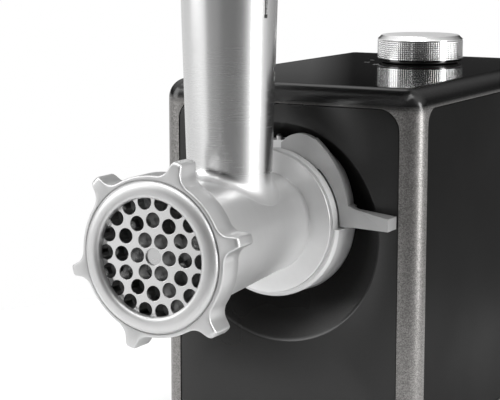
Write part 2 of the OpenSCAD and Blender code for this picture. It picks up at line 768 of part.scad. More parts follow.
module auger() color(cast_alloy) placed() difference() {
  translate([0, auger_back, 0]) rotate([90, 0, 0])
    linear_extrude(height = auger_len, twist = 360 * auger_turns, slices = 36, scale = auger_r_front / auger_r_back)
      auger_section();
  bar_y(9.05, auger_back - 12.2, auger_back + 1);
  bar_y(5.02, auger_front - 1, auger_front + 20);
}

// Round core with one flight across it
module auger_section() union() {
  circle(r = auger_core_r, $fn = 20);
  polygon([[0, -9], [auger_r_back, -2.8], [auger_r_back, 2.8], [0, 9]]);
}

module knife_pin() color(bright_steel) placed() {
  bar_y(5, auger_front - 0.1, auger_front + 19);
  translate([-4.5, knife_front - 0.1, -4.5]) cube([9, auger_front + 0.08 - knife_front, 9]);
  bar_y(4.5, plate_front + 1, knife_front);
}

module knife() color(bright_steel) placed() difference() {
  slab_y(knife_front, knife_front + knife_t) {
    circle(r = 13);
    for (i = [0:3]) rotate(90 * i + 20) polygon([[0, -8], [14, -7], [30, -2], [29.5, 5], [12, 4], [0, 8]]);
  }
  translate([-4.55, knife_front - 1, -4.55]) cube([9.1, knife_t + 2, 9.1]);
}

hole_r = 4;
hole_pitch = 9.6;

module perforated_plate() color(bright_steel) placed() difference() {
  bar_y(plate_r, plate_front, plate_front + plate_t);
  bar_y(4.5 + run_gap, plate_front - 1, plate_front + plate_t + 1);
  for (ring = [1:3], i = [0:6 * ring - 1]) let (a = 360 / (6 * ring) * i)
    at_xz(ring * hole_pitch * [cos(a), sin(a)]) bar_y(hole_r, plate_front - 1, plate_front + plate_t + 1);
  translate([-1.8, plate_front - 1, mouth_in_r - 3.3]) cube([3.6, plate_t + 2, 6]);
}

// Front view of the ring nut's lugs, with hollow feet that run into its band
module lug_outline(tip_half) {
  foot_r = 9;
  band_r = 42.5;
  foot_side = tip_half + foot_r;
  foot_out = sqrt((band_r + foot_r) ^ 2 - foot_side ^ 2);
  circle(r = band_r);
  for (i = [0:lug_count - 1]) rotate(lug_phase + i * 360 / lug_count) difference() {
    polygon([[30, -foot_side], [foot_out, -foot_side], [lug_tip_r, -tip_half], [lug_tip_r, tip_half],
      [foot_out, foot_side], [30, foot_side]]);
    for (s = [-1, 1]) translate([foot_out, s * foot_side]) circle(r = foot_r);
  }
}

module ring_nut() color(cast_alloy) placed() difference() {
  intersection() {
    slab_y(-head_reach, -head_reach + 20) lug_outline(3.2);
    turned_y([
      [0, -head_reach], [mouth_r + 1.5, -head_reach], [38, -head_reach + 1.6], [41, -head_reach + 3.4],
      [60, -head_reach + 4.8], [60, -head_reach + 20], [0, -head_reach + 20]
    ]);
  }
  bar_y(mouth_r, -head_reach - 1, -head_reach + 10);
  bar_y(thread_r + 0.35, -head_reach + 5, -head_reach + 21);
}

// ---- tray and pusher ----

tray_y0 = -tube_y - 71.5;
tray_floor_t = 1.6;

module tray_outline(inset, r) round_rect(-tray_w / 2 + inset, tray_w / 2 - inset, tray_y0 + inset, tray_y0 + tray_l - inset, r);

module hopper_tray() color(bright_steel) placed() {
  difference() {
    union() {
      slab_z(tube_top, tube_top + tray_h) tray_outline(4, 30);
      slab_z(tube_top + tray_h - 1.8, tube_top + tray_h) tray_outline(0, 34);
      translate([0, -tube_y, 0]) bar_z(22.5, tube_top - 22, tube_top + eps);
    }
    slab_z(tube_top + tray_floor_t, tube_top + tray_h + 1) tray_outline(4 + tray_floor_t, 30 - tray_floor_t);
    translate([0, -tube_y, 0]) bar_z(21.2, tube_top - 24, tube_top + 4);
  }
  translate([0, -tube_y, tube_top - 19]) rotate([0, 0, slot_angle])
    translate([22, -1, 0]) cube([3.8, 2, 19 + eps]);
}

module food_pusher() color(dark_plastic) placed() translate([0, -tube_y, 0]) rotate_extrude() polygon([
  [0, 62], [pusher_r - 1.5, 62], [pusher_r, 64], [pusher_r, tube_top + tray_floor_t + 0.1], [29, tube_top + tray_floor_t + 0.1],
  [30, tube_top + 3], [28, tube_top + 6], [13, tube_top + 9], [11, tube_top + 20], [12, tube_top + 46], [19, tube_top + 56],
  [20, tube_top + 61], [16, tube_top + 66], [0, tube_top + 68]
]);

// ---- node selection ----

base_plate();
rubber_feet();
foot_screws();
body_shell();
front_panel();
left_side_panel();
right_side_panel();
top_plate();
rear_cover();
rear_screws();
cord_gland();
gearbox_housing();
gearbox_cover();
gearbox_screws();
head_socket();
socket_screws();
detent_pin();
output_front_bush();
output_rear_bush();
first_gear_shaft();
second_gear_shaft();
motor_front_bracket();
motor_rear_bracket();
stator_core();
field_coils();
motor_front_bearing();
motor_rear_bearing();
motor_bolts();
brush_holders();
carbon_brushes();
control_board();
selector_switch();
switch_nut();
switch_shaft();
knob_hub();
speed_knob();
locking_lever();
motor_shaft();
armature_core();
armature_windings();
commutator();
cooling_fan();
first_gear();
first_pinion();
second_gear();
second_pinion();
output_gear();
output_shaft();
head_casting();
feed_tube();
auger_bush();
plate_key();
auger();
auger_shank();
knife_pin();
knife();
perforated_plate();
ring_nut();
hopper_tray();
food_pusher();
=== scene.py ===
"""Looks of the electric meat grinder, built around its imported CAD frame.

The scene is in metres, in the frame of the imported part. Pieces are drawn in millimetres about the
drive axis, with X to the right, Y to the back and Z up, and y = 0 on the front of the housing.
drive() turns such a point into metres.
"""

import json
import math

import bmesh
import bpy
import numpy as np
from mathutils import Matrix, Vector


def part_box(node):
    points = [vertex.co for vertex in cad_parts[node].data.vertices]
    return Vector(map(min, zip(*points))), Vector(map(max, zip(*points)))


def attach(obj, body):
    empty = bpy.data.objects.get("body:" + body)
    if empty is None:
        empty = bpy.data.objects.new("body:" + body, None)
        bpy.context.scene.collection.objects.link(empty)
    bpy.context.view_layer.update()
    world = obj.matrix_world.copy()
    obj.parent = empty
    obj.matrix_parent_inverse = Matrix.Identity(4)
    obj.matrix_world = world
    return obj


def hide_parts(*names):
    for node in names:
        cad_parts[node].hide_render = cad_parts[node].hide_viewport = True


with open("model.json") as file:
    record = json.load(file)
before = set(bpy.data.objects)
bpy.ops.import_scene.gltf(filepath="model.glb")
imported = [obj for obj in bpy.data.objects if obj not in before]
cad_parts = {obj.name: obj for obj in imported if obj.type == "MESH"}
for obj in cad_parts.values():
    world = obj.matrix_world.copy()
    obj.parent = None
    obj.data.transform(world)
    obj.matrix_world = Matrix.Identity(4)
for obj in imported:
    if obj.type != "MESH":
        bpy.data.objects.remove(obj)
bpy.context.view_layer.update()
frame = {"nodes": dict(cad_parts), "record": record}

MM = 0.001

# ---- places taken from the frame ----

socket_lo, socket_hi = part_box("head_socket")
panel_lo, panel_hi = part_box("front_panel")
shell_lo, shell_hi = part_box("body_shell")
top_lo, top_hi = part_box("top_plate")
casting_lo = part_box("head_casting")[0]
tube_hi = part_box("feed_tube")[1]
ring_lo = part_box("ring_nut")[0]
knob_lo, knob_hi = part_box("speed_knob")
tray_lo, tray_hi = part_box("hopper_tray")
pusher_lo, pusher_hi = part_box("food_pusher")

AXIS_Z = (socket_lo.z + socket_hi.z) / 2
FRONT_Y = shell_lo.y


def drive(x, y, z):
    """Point of the scene, in metres, from millimetres about the drive axis."""
    return Vector((x * MM, FRONT_Y + y * MM, AXIS_Z + z * MM))


def drive_y(y):
    """Millimetres behind the front of the housing, from a y of the scene in metres."""
    return (y - FRONT_Y) / MM


def drive_z(z):
    """Millimetres above the drive axis, from a z of the scene in metres."""
    return (z - AXIS_Z) / MM


# ---- mesh helpers ----

def arc(cx, cy, r, a0, a1, steps):
    """Points on an arc from angle a0 to a1, in degrees, both ends included."""
    angles = np.radians(np.linspace(a0, a1, steps + 1))
    return [(cx + r * math.cos(a), cy + r * math.sin(a)) for a in angles]


def bezier(p0, p1, p2, p3, steps):
    """Points on a cubic curve, both ends included."""
    out = []
    for t in np.linspace(0, 1, steps + 1):
        s = 1 - t
        weights = (s ** 3, 3 * s * s * t, 3 * s * t * t, t ** 3)
        out.append(tuple(sum(w * p[k] for w, p in zip(weights, (p0, p1, p2, p3))) for k in (0, 1)))
    return out


def straight(a, b, steps):
    """Points on a straight line, both ends included."""
    return [(a[0] + (b[0] - a[0]) * t, a[1] + (b[1] - a[1]) * t) for t in np.linspace(0, 1, steps + 1)]


def round_rect(x0, x1, y0, y1, r, corner_steps=10, side_steps=6):
    """Closed outline of a rectangle with round corners, anticlockwise from the bottom right corner."""
    corners = ((x1 - r, y0 + r, -90), (x1 - r, y1 - r, 0), (x0 + r, y1 - r, 90), (x0 + r, y0 + r, 180))
    points = []
    for cx, cy, a0 in corners:
        turn = arc(cx, cy, r, a0, a0 + 90, corner_steps)
        if points:
            points += straight(points[-1], turn[0], side_steps)[1:-1]
        points += turn
    points += straight(points[-1], points[0], side_steps)[1:-1]
    return points


def turned(outline, degrees, cx, cy):
    """Outline turned about its origin and moved to cx, cy."""
    a = math.radians(degrees)
    c, s = math.cos(a), math.sin(a)
    return [(cx + x * c - y * s, cy + x * s + y * c) for x, y in outline]


def add_object(name, data):
    """Object with that mesh, lamp or lens, put into the scene."""
    made = bpy.data.objects.new(name, data)
    bpy.context.scene.collection.objects.link(made)
    return made


def new_piece(name, vertices, faces):
    """Object with a mesh of those faces, turned outwards."""
    mesh = bpy.data.meshes.new(name)
    mesh.from_pydata([tuple(v) for v in vertices], [], faces)
    made = bmesh.new()
    made.from_mesh(mesh)
    bmesh.ops.remove_doubles(made, verts=made.verts, dist=1e-7)
    bmesh.ops.recalc_face_normals(made, faces=made.faces)
    made.to_mesh(mesh)
    made.free()
    return add_object(name, mesh)


def loft(name, rings, closed=False):
    """Mesh through rings of points about the drive axis, all as long as the first.

    closed joins the last ring to the first; without it both ends are capped.
    """
    count = len(rings[0])
    vertices = [drive(*p) for ring in rings for p in ring]
    faces = []
    for i in range(len(rings) if closed else len(rings) - 1):
        low = i * count
        high = (i + 1) % len(rings) * count
        for j in range(count):
            k = (j + 1) % count
            faces.append((low + j, low + k, high + k, high + j))
    if not closed:
        faces.append(tuple(range(count)))
        faces.append(tuple(range(len(vertices) - count, len(vertices))))
    return new_piece(name, vertices, faces)


def smooth(piece, angle=35):
    """Smooth shading, with edges kept that turn by more than the angle."""
    mesh = piece.data
    mesh.polygons.foreach_set("use_smooth", [True] * len(mesh.polygons))
    mesh.set_sharp_from_angle(angle=math.radians(angle))
    mesh.update()
    return piece


def settle(piece):
    """Turns the piece's modifiers into plain mesh."""
    bpy.context.view_layer.update()
    shaped = piece.evaluated_get(bpy.context.evaluated_depsgraph_get())
    mesh = bpy.data.meshes.new_from_object(shaped)
    piece.modifiers.clear()
    piece.data = mesh


def cut(piece, *tools):
    """Takes closed tool meshes away from the piece, and deletes them."""
    for tool in tools:
        change = piece.modifiers.new("cut", "BOOLEAN")
        change.operation = "DIFFERENCE"
        change.solver = "EXACT"
        change.object = tool
    settle(piece)
    for tool in tools:
        bpy.data.objects.remove(tool)
    return piece


def join(name, *pieces):
    """One object from several meshes."""
    vertices = []
    faces = []
    for piece in pieces:
        start = len(vertices)
        vertices += [v.co.copy() for v in piece.data.vertices]
        faces += [tuple(start + i for i in polygon.vertices) for polygon in piece.data.polygons]
        bpy.data.objects.remove(piece)
    return new_piece(name, vertices, faces)


def soften(piece, width, segments=2, angle=32, flatten=True):
    """Small round on every hard edge, in modifiers, so that edges catch the light.

    flatten joins the triangles of flat faces first; without it every face is split into triangles.
    """
    weld = piece.modifiers.new("weld", "WELD")
    weld.merge_threshold = 2e-6
    if flatten:
        flat = piece.modifiers.new("flat", "DECIMATE")
        flat.decimate_type = "DISSOLVE"
        flat.angle_limit = math.radians(0.6)
    else:
        piece.modifiers.new("triangles", "TRIANGULATE")
    edge = piece.modifiers.new("edge", "BEVEL")
    edge.width = width * MM
    edge.segments = segments
    edge.limit_method = "ANGLE"
    edge.angle_limit = math.radians(angle)
    edge.miter_outer = "MITER_ARC"
    shade = piece.modifiers.new("shade", "WEIGHTED_NORMAL")
    shade.keep_sharp = False
    shade.weight = 80


def revolve(name, profile, centre, axis="Z", steps=128):
    """Closed body turned from (radius, along) points about the axis through centre."""
    cx, cy, cz = centre
    rings = []
    for a in np.radians(np.arange(steps) * 360 / steps):
        c, s = math.cos(a), math.sin(a)
        if axis == "Z":
            rings.append([(cx + r * c, cy + r * s, cz + h) for r, h in profile])
        else:
            rings.append([(cx + r * c, cy + h, cz + r * s) for r, h in profile])
    return loft(name, rings, closed=True)


def prism_y(name, outline, y0, y1):
    """Solid between y0 and y1 from an outline in X and Z."""
    return loft(name, [[(x, y, z) for x, z in outline] for y in (y0, y1)])


def prism_x(name, outline, x0, x1):
    """Solid between x0 and x1 from an outline in Y and Z."""
    return loft(name, [[(x, y, z) for y, z in outline] for x in (x0, x1)])


def prism_z(name, outline, z0, z1):
    """Solid between z0 and z1 from an outline in X and Y."""
    return loft(name, [[(x, y, z) for x, y in outline] for z in (z0, z1)])


# ---- materials ----

def add_node(tree, kind, inputs=None, **settings):
    """Node with its settings, and its inputs by name or number as values or links."""
    node = tree.nodes.new(kind)
    for key, value in settings.items():
        setattr(node, key, value)
    for key, value in (inputs or {}).items():
        socket = node.inputs[key]
        if isinstance(value, bpy.types.NodeSocket):
            tree.links.new(value, socket)
        else:
            socket.default_value = value
    return node


class Finish:
    """A node material, built with short calls."""

    def __init__(self, name, **shader):
        self.material = bpy.data.materials.new(name)
        self.material.use_nodes = True
        self.tree = self.material.node_tree
        self.shader = self.tree.nodes["Principled BSDF"]
        for socket, value in shader.items():
            self.shader.inputs[socket.replace("_", " ")].default_value = value
        self.place = self.add("ShaderNodeTexCoord").outputs["Object"]

    def add(self, kind, inputs=None, **settings):
        """Node in this material."""
        return add_node(self.tree, kind, inputs, **settings)

    def link(self, source, socket):
        """Feeds one input of the shader."""
        self.tree.links.new(source, self.shader.inputs[socket])

    def along(self, axis):
        """Object coordinate along an axis: 0 for X, 1 for Y and 2 for Z."""
        return self.add("ShaderNodeSeparateXYZ", {0: self.place}).outputs[axis]

    def stretched(self, scale):
        """Object coordinates scaled along each axis."""
        return self.add("ShaderNodeMapping", {"Vector": self.place, "Scale": scale}).outputs[0]

    def noise(self, scale, detail, vector=None, roughness=0.5):
        """Cloudy noise from 0 to 1, in patches of about 1 / scale."""
        node = self.add(
            "ShaderNodeTexNoise",
            {"Vector": vector or self.place, "Scale": scale, "Detail": detail, "Roughness": roughness},
        )
        return node.outputs["Fac"]

    def spread(self, value, low, high, start=0.3, end=0.7):
        """Value mapped from start..end to low..high."""
        node = self.add(
            "ShaderNodeMapRange",
            {"Value": value, "From Min": start, "From Max": end, "To Min": low, "To Max": high},
        )
        return node.outputs[0]

    def blend(self, factor, a, b):
        """Colour between a and b."""
        return self.add("ShaderNodeMix", {0: factor, 6: a, 7: b}, data_type="RGBA").outputs[2]

    def math(self, operation, a, b):
        """Sum, product or the like of two values."""
        return self.add("ShaderNodeMath", {0: a, 1: b}, operation=operation).outputs[0]

    def bump(self, *layers):
        """Bump from (height, strength, distance in mm) layers, one over another."""
        normal = None
        for height, strength, distance in layers:
            inputs = {"Height": height, "Strength": strength, "Distance": distance * MM}
            if normal is not None:
                inputs["Normal"] = normal
            normal = self.add("ShaderNodeBump", inputs).outputs[0]
        self.link(normal, "Normal")


# How far a satin surface's roughness wanders to either side
SATIN = 0.04


def grey(value, warmth=0.0):
    """Linear grey with a little more red and less blue."""
    return (value * (1 + warmth), value, value * (1 - warmth), 1)


def metal(name, tone, rough, grain_mm=0.4, grain=0.25, warmth=0.0, blotch=0.06, metallic=1.0):
    """Cast or blasted metal: a fine grain in the bump, with soft blotches in colour and roughness."""
    f = Finish(name, Metallic=metallic)
    fine = f.noise(1 / (grain_mm * MM), 2.0)
    broad = f.noise(28, 4.0)
    low, high = grey(tone * (1 - blotch), warmth), grey(tone * (1 + blotch), warmth)
    f.link(f.blend(f.spread(broad, 0, 1), low, high), "Base Color")
    f.link(f.spread(broad, rough - SATIN, rough + SATIN), "Roughness")
    f.bump((fine, grain, 0.05))
    return f.material


def brushed(name, tone, rough, lines, strength=0.12, contrast=0.06, metallic=1.0, foot=None):
    """Metal with fine lines; lines is the stretch of the noise along X, Y and Z.

    foot is the pair of heights between which the metal turns softer towards the bottom.
    """
    f = Finish(name, Metallic=metallic)
    streak = f.noise(1.0, 3.0, f.stretched(lines), 0.6)
    broad = f.noise(18, 3.0)
    low, high = grey(tone * (1 - contrast)), grey(tone * (1 + contrast))
    f.link(f.blend(f.spread(streak, 0, 1), low, high), "Base Color")
    lines_rough = f.spread(streak, rough - contrast, rough + contrast)
    roughness = f.math("ADD", lines_rough, f.spread(broad, -0.02, 0.03))
    if foot:
        low_down = f.spread(f.along(2), 1, 0, *foot)
        roughness = f.math("ADD", roughness, f.spread(low_down, 0, 0.17, 0, 1))
        f.link(f.spread(low_down, metallic, metallic - 0.4, 0, 1), "Metallic")
    f.link(roughness, "Roughness")
    f.bump((streak, strength, 0.03))
    return f.material


def paint(
    name, tone, rough, flake=0.0, metallic=0.0, warmth=0.0, grain_mm=0.3, grain=0.2, gloss=0.5,
    cap=None, recess=None,
):
    """Satin metallic paint, with flakes that vary the tone from grain to grain.

    cap is the pair of heights between which the paint turns into smooth black towards the top.
    recess is the pair of depths of a hollow's rim and floor: painted shade makes the paint reflect less
    at the rim, and less again below.
    """
    f = Finish(name, Metallic=metallic, Specular_IOR_Level=gloss)
    grains = f.add("ShaderNodeTexVoronoi", {"Vector": f.place, "Scale": 1 / (grain_mm * MM)})
    sparkle = f.add("ShaderNodeSeparateColor", {0: grains.outputs["Color"]}).outputs[0]
    broad = f.noise(12, 3.0)
    low, high = grey(tone * (1 - flake), warmth), grey(tone * (1 + flake), warmth)
    colour = f.blend(f.spread(sparkle, 0, 1, 0, 1), low, high)
    satin = f.spread(broad, rough - SATIN, rough + SATIN)
    if cap:
        black = f.spread(f.along(2), 0, 1, *cap)
        colour = f.blend(black, colour, grey(0.006))
        f.link(f.spread(black, metallic, 0, 0, 1), "Metallic")
        satin = f.math("MULTIPLY", satin, f.spread(black, 1, 0.6, 0, 1))
    # Painted shade in the recess: the paint's specular level falls from the rim down to the floor.
    if recess:
        rim, floor = recess
        depth = f.along(1)
        edge = f.spread(depth, gloss, gloss * 0.45, rim - 0.5 * MM, rim)
        f.link(f.math("MULTIPLY", edge, f.spread(depth, 1, 0.3, rim, floor)), "Specular IOR Level")
    f.link(colour, "Base Color")
    f.link(satin, "Roughness")
    f.bump((f.noise(1 / (grain_mm * MM), 1.0), grain, 0.03))
    return f.material


def plastic(name, tone, rough, grain_mm=0.5, grain=0.3, colour=None):
    """Moulded plastic or rubber with a fine spark-eroded grain."""
    f = Finish(name)
    base = colour or (tone, tone, tone)
    fine = f.noise(1 / (grain_mm * MM), 2.0)
    broad = f.noise(20, 3.0)
    low = tuple(c * 0.9 for c in base) + (1,)
    high = tuple(min(c * 1.12, 1) for c in base) + (1,)
    f.link(f.blend(f.spread(broad, 0, 1), low, high), "Base Color")
    f.link(f.spread(broad, rough - 0.05, rough + 0.05), "Roughness")
    f.bump((fine, grain, 0.05))
    return f.material


def spun(name, tone, rough, low, high):
    """Turned metal of the knob that fills the box from low to high.

    It has fine rings about the knob's axis, a satin top, and painted shade in the grooves between the
    studs.
    """
    f = Finish(name, Metallic=1.0)
    centre = ((low.x + high.x) / 2, (low.y + high.y) / 2, 0)
    moved = f.add("ShaderNodeVectorMath", {0: f.place, 1: centre}, operation="SUBTRACT").outputs[0]
    level = f.add("ShaderNodeVectorMath", {0: moved, 1: (1, 1, 0)}, operation="MULTIPLY").outputs[0]
    radius = f.add("ShaderNodeVectorMath", {0: level}, operation="LENGTH").outputs["Value"]
    lathe = {"W": radius, "Scale": 1 / (0.35 * MM)}
    rings = f.add("ShaderNodeTexNoise", lathe, noise_dimensions="1D").outputs[0]
    bright = f.blend(f.spread(rings, 0, 1), grey(tone * 0.95), grey(tone * 1.03))
    side = (high.x - low.x) / 2
    studs_top = high.z - STUDS_DOWN * MM
    height = f.along(2)
    # Painted shade: the base colour turns dark in the grooves between the studs, up to the studs' top.
    deep = f.spread(radius, 1, 0, side - GROOVE * MM, side - 0.25 * MM)
    painted_groove_shade = f.math("MULTIPLY", deep, f.spread(height, 1, 0, studs_top, studs_top + 0.4 * MM))
    f.link(f.blend(painted_groove_shade, bright, grey(tone * 0.2)), "Base Color")
    satin = f.spread(height, 0, 0.3, high.z - 0.5 * MM, high.z)
    f.link(f.math("ADD", f.spread(rings, rough - 0.05, rough + 0.05), satin), "Roughness")
    f.bump((rings, 0.1, 0.02))
    return f.material


def windings(name, colour):
    """Enamelled wire laid in close turns."""
    f = Finish(name, Metallic=0.9, Coat_Weight=0.6, Coat_Roughness=0.15)
    wave = {"Vector": f.place, "Scale": 700, "Distortion": 2.0, "Detail": 1.0}
    turns = f.add("ShaderNodeTexWave", wave).outputs[1]
    f.link(f.blend(turns, tuple(c * 0.5 for c in colour) + (1,), tuple(colour) + (1,)), "Base Color")
    f.link(f.spread(turns, 0.3, 0.45), "Roughness")
    f.bump((turns, 0.5, 0.2))
    return f.material


def laminated(name, tone):
    """Stack of thin steel sheets, seen as lines across the length."""
    f = Finish(name, Metallic=1.0)
    wave = {"Vector": f.place, "Scale": 320, "Distortion": 0.4}
    sheets = f.add("ShaderNodeTexWave", wave, bands_direction="Y").outputs[1]
    f.link(f.blend(sheets, grey(tone * 0.5), grey(tone)), "Base Color")
    f.link(f.spread(sheets, 0.5, 0.38, 0, 1), "Roughness")
    f.bump((sheets, 0.4, 0.1))
    return f.material


def board(name):
    """Solder mask over copper tracks."""
    f = Finish(name, Roughness=0.3, Coat_Weight=0.5)
    bricks = {"Vector": f.place, "Scale": 160, "Mortar Size": 0.012}
    tracks = f.add("ShaderNodeTexBrick", bricks).outputs["Fac"]
    f.link(f.blend(tracks, (0.01, 0.10, 0.04, 1), (0.03, 0.20, 0.08, 1)), "Base Color")
    f.bump((tracks, 0.3, 0.05))
    return f.material


# Where the frame's paint turns black, the tube's foot turns dull, and the recess's paint reflects less
# as painted shade
CAP_HEIGHTS = (AXIS_Z + 64 * MM, AXIS_Z + 69 * MM)
FOOT_HEIGHTS = (AXIS_Z + 28 * MM, AXIS_Z + 36 * MM)
RECESS_SHADE_DEPTHS = (FRONT_Y + 1.2 * MM, FRONT_Y + 6 * MM)
# Stretch of the brushing's noise along X, Y and Z
ROUND_TUBE = (40, 40, 4600)
ROUND_BARREL = (60, 2600, 60)
ALONG_TRAY = (900, 30, 900)
# Depth of the grooves between the knob's studs, and how far the studs end below its top
GROOVE = 0.6
STUDS_DOWN = 3.6

finishes = {
    "coated_frame": paint(
        "coated_frame", 0.22, 0.34, flake=0.4, metallic=0.85, warmth=0.03, grain_mm=0.5, cap=CAP_HEIGHTS
    ),
    "front_finish": paint(
        "front_finish", 0.006, 0.3, flake=0.3, warmth=0.04, grain_mm=0.4, grain=0.1, recess=RECESS_SHADE_DEPTHS
    ),
    "side_finish": paint(
        "side_finish", 0.004, 0.42, flake=0.3, warmth=0.02, grain_mm=0.4, grain=0.1, gloss=0.05
    ),
    "gloss_top": paint("gloss_top", 0.004, 0.06, flake=0.1, grain_mm=2.0, grain=0.01),
    "black_plastic": plastic("black_plastic", 0.018, 0.45),
    "rubber": plastic("rubber", 0.014, 0.7, grain_mm=0.8, grain=0.4),
    "cast_head": metal("cast_head", 0.62, 0.44, grain_mm=0.3, grain=0.1, blotch=0.03, metallic=0.8),
    "cast_inner": metal("cast_inner", 0.5, 0.5, grain_mm=0.9, grain=0.4),
    "steel": metal("steel", 0.55, 0.28, grain_mm=0.3, grain=0.08),
    "tray_steel": brushed("tray_steel", 0.62, 0.26, ALONG_TRAY),
    "knob_metal": spun("knob_metal", 0.84, 0.2, knob_lo, knob_hi),
    "bronze": metal("bronze", 0.42, 0.4, warmth=0.35),
    "copper": windings("copper", (0.55, 0.22, 0.09)),
    "lamination": laminated("lamination", 0.4),
    "carbon": plastic("carbon", 0.03, 0.6),
    "nylon": plastic("nylon", 0.6, 0.4, grain_mm=0.6, grain=0.1, colour=(0.66, 0.63, 0.53)),
    "sintered": metal("sintered", 0.33, 0.45, grain_mm=0.3, grain=0.3),
    "circuit_board": board("circuit_board"),
    "head_tube": brushed(
        "head_tube", 0.68, 0.25, ROUND_TUBE, strength=0.025, contrast=0.02, foot=FOOT_HEIGHTS
    ),
    "head_barrel": brushed(
        "head_barrel", 0.74, 0.38, ROUND_BARREL, strength=0.03, contrast=0.03, metallic=0.7
    ),
    "lever_cast": metal("lever_cast", 0.44, 0.40, grain_mm=0.5, grain=0.1, blotch=0.05, metallic=0.5),
    "collar": metal("collar", 0.78, 0.45, grain_mm=0.3, grain=0.06, blotch=0.02, metallic=0.3),
    "plate_steel": metal("plate_steel", 0.6, 0.2, grain_mm=0.5, grain=0.05),
    "mark": plastic("mark", 0.35, 0.4),
}


def dress(piece, name):
    """Gives the whole piece one finish."""
    piece.data.materials.clear()
    piece.data.materials.append(finishes[name])


def finished(piece, body, slot, finish=None, replaces=()):
    """Puts a piece on its body, with its finish, or the slot's finish when none is given, and hides the
    CAD nodes that it stands for.
    """
    dress(piece, finish or slot)
    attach(piece, body)
    if replaces:
        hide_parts(*replaces)


for part in frame["record"]["subparts"]:
    dress(frame["nodes"][part["node"]], part["material_slot"])

# ---- housing ----

LEFT = shell_lo.x / MM
RIGHT = shell_hi.x / MM
MID_X = (LEFT + RIGHT) / 2
DEPTH = drive_y(shell_hi.y)
TOP = drive_z(shell_hi.z)
SHELL_Z = drive_z(shell_lo.z)
# How far the frame reaches over the edges of the CAD's panels, the gap round the visible panels,
# the round of the frame's edges, and its wall
LIP = 1.5
PANEL_GAP = 0.3
EDGE_R = 12
WALL = 3


def edge_box(name, inset, r, floor):
    """Box the size of the housing, drawn in by inset, with every edge round but those of its floor."""
    made = bmesh.new()
    bmesh.ops.create_cube(made, size=1)
    low = drive(LEFT + inset, inset, floor)
    high = drive(RIGHT - inset, DEPTH - inset, TOP - inset)
    for v in made.verts:
        v.co = Vector([high[k] if v.co[k] > 0 else low[k] for k in range(3)])
    edges = [e for e in made.edges if max(v.co.z for v in e.verts) > low.z + r * MM]
    bmesh.ops.bevel(made, geom=edges, offset=r * MM, segments=12, profile=0.5, affect="EDGES")
    mesh = bpy.data.meshes.new(name)
    made.to_mesh(mesh)
    made.free()
    return add_object(name, mesh)


def make_shell():
    """Housing frame: rounded all over, open where its panels sit."""
    shell = edge_box("housing_frame", 0, EDGE_R, SHELL_Z)
    # The holes keep this far inside the CAD's panels, and the cutters run this far past the wall
    reach = LIP + 0.06
    past = 2
    low, high = drive_z(panel_lo.z) + reach, drive_z(panel_hi.z) - reach
    front = round_rect(panel_lo.x / MM + reach, panel_hi.x / MM - reach, low, high, 13)
    side = round_rect(12.5, DEPTH - 12.5, low, high, 10)
    top = round_rect(top_lo.x / MM + reach, top_hi.x / MM - reach, 12.7, DEPTH - 13, 12)
    rear = round_rect(MID_X - 57, MID_X + 57, SHELL_Z + 18, 55, 8)
    cut(
        shell,
        edge_box("cavity", WALL, EDGE_R - WALL, SHELL_Z - 5),
        prism_y("front_hole", front, -past, WALL + past),
        prism_y("rear_hole", rear, DEPTH - WALL - past, DEPTH + past),
        prism_x("left_hole", side, LEFT - past, LEFT + WALL + past),
        prism_x("right_hole", side, RIGHT - WALL - past, RIGHT + past),
        prism_z("top_hole", top, TOP - WALL - past, TOP + past),
    )
    soften(shell, 0.5, 2, 40, flatten=False)
    finished(smooth(shell, 180), "housing", "coated_frame", replaces=["body_shell"])


make_shell()

# The round recess: its radius, how far its middle is below the drive axis, and its depth
DISH_R = 64
DISH_DROP = 9
DISH_DEPTH = 10
# Radius of the hole for the socket's collar
COLLAR_HOLE_R = 45.8


def make_front_panel():
    """Front panel with its round recess, as one surface from the hole for the socket to the edge."""
    inset = LIP + PANEL_GAP
    left, right = panel_lo.x / MM + inset, panel_hi.x / MM - inset
    low, high = drive_z(panel_lo.z) + inset, drive_z(panel_hi.z) - inset
    face = drive_y(panel_lo.y)
    back = DISH_DEPTH + 2.5
    corner = 12.6
    bowl_steps = 18

    def edge(inset, y):
        """Ring along the panel's edge."""
        r = corner - inset
        shape = round_rect(left + inset, right - inset, low + inset, high - inset, r, 14, 28)
        return [(x, y, z) for x, z in shape]

    angles = [math.atan2(z + DISH_DROP, x) for x, _, z in edge(0, 0)]

    def circle(r, y, drop=DISH_DROP):
        """Ring with a point opposite every point of the edge."""
        return [(r * math.cos(a), y, r * math.sin(a) - drop) for a in angles]

    def hole(y):
        """Ring of the hole for the socket's collar."""
        return circle(COLLAR_HOLE_R, y, 0)

    def bowl(share):
        """Ring of the recess between the hole and the rim, with a slope that grows outwards."""
        y = DISH_DEPTH - (DISH_DEPTH - 0.9) * share ** 1.3
        pairs = zip(hole(y), circle(DISH_R + 0.6, y))
        return [tuple(Vector(inner).lerp(Vector(outer), share)) for inner, outer in pairs]

    rings = [bowl(i / bowl_steps) for i in range(bowl_steps + 1)]
    rings += [circle(DISH_R + 1.1, face + 0.25), circle(DISH_R + 1.9, face)]
    rings += [edge(0.8, face), edge(0.4, face + 0.08), edge(0.12, face + 0.3)]
    rings += [edge(0, face + 0.7), edge(0, WALL)]
    rings += [circle(DISH_R + 2, WALL + 1), circle(DISH_R - 4.4, back), hole(back)]
    panel = loft("front_panel_pressing", rings, closed=True)
    finished(smooth(panel, 40), "housing", "front_finish", replaces=["front_panel"])


make_front_panel()

# ---- head ----

# The feed tube: its axis, top, outer radius at the height of the drive axis, widening and wall
TUBE_Y = -56.5
TUBE_TOP = drive_z(tube_hi.z)
TUBE_R0 = 22.6
TUBE_FLARE = 0.0294
TUBE_WALL = 3.2
# The barrel's outside from its mouth to its flange, as (radius, y)
BARREL = [(38, -117), (34.4, -111), (29.2, -21)]
# Angle about the feed tube's axis of the tube's slot and the tray's key, in degrees
KEY_ANGLE = -12


def tube_r(z):
    """Outer radius of the feed tube at z."""
    return TUBE_R0 + TUBE_FLARE * z


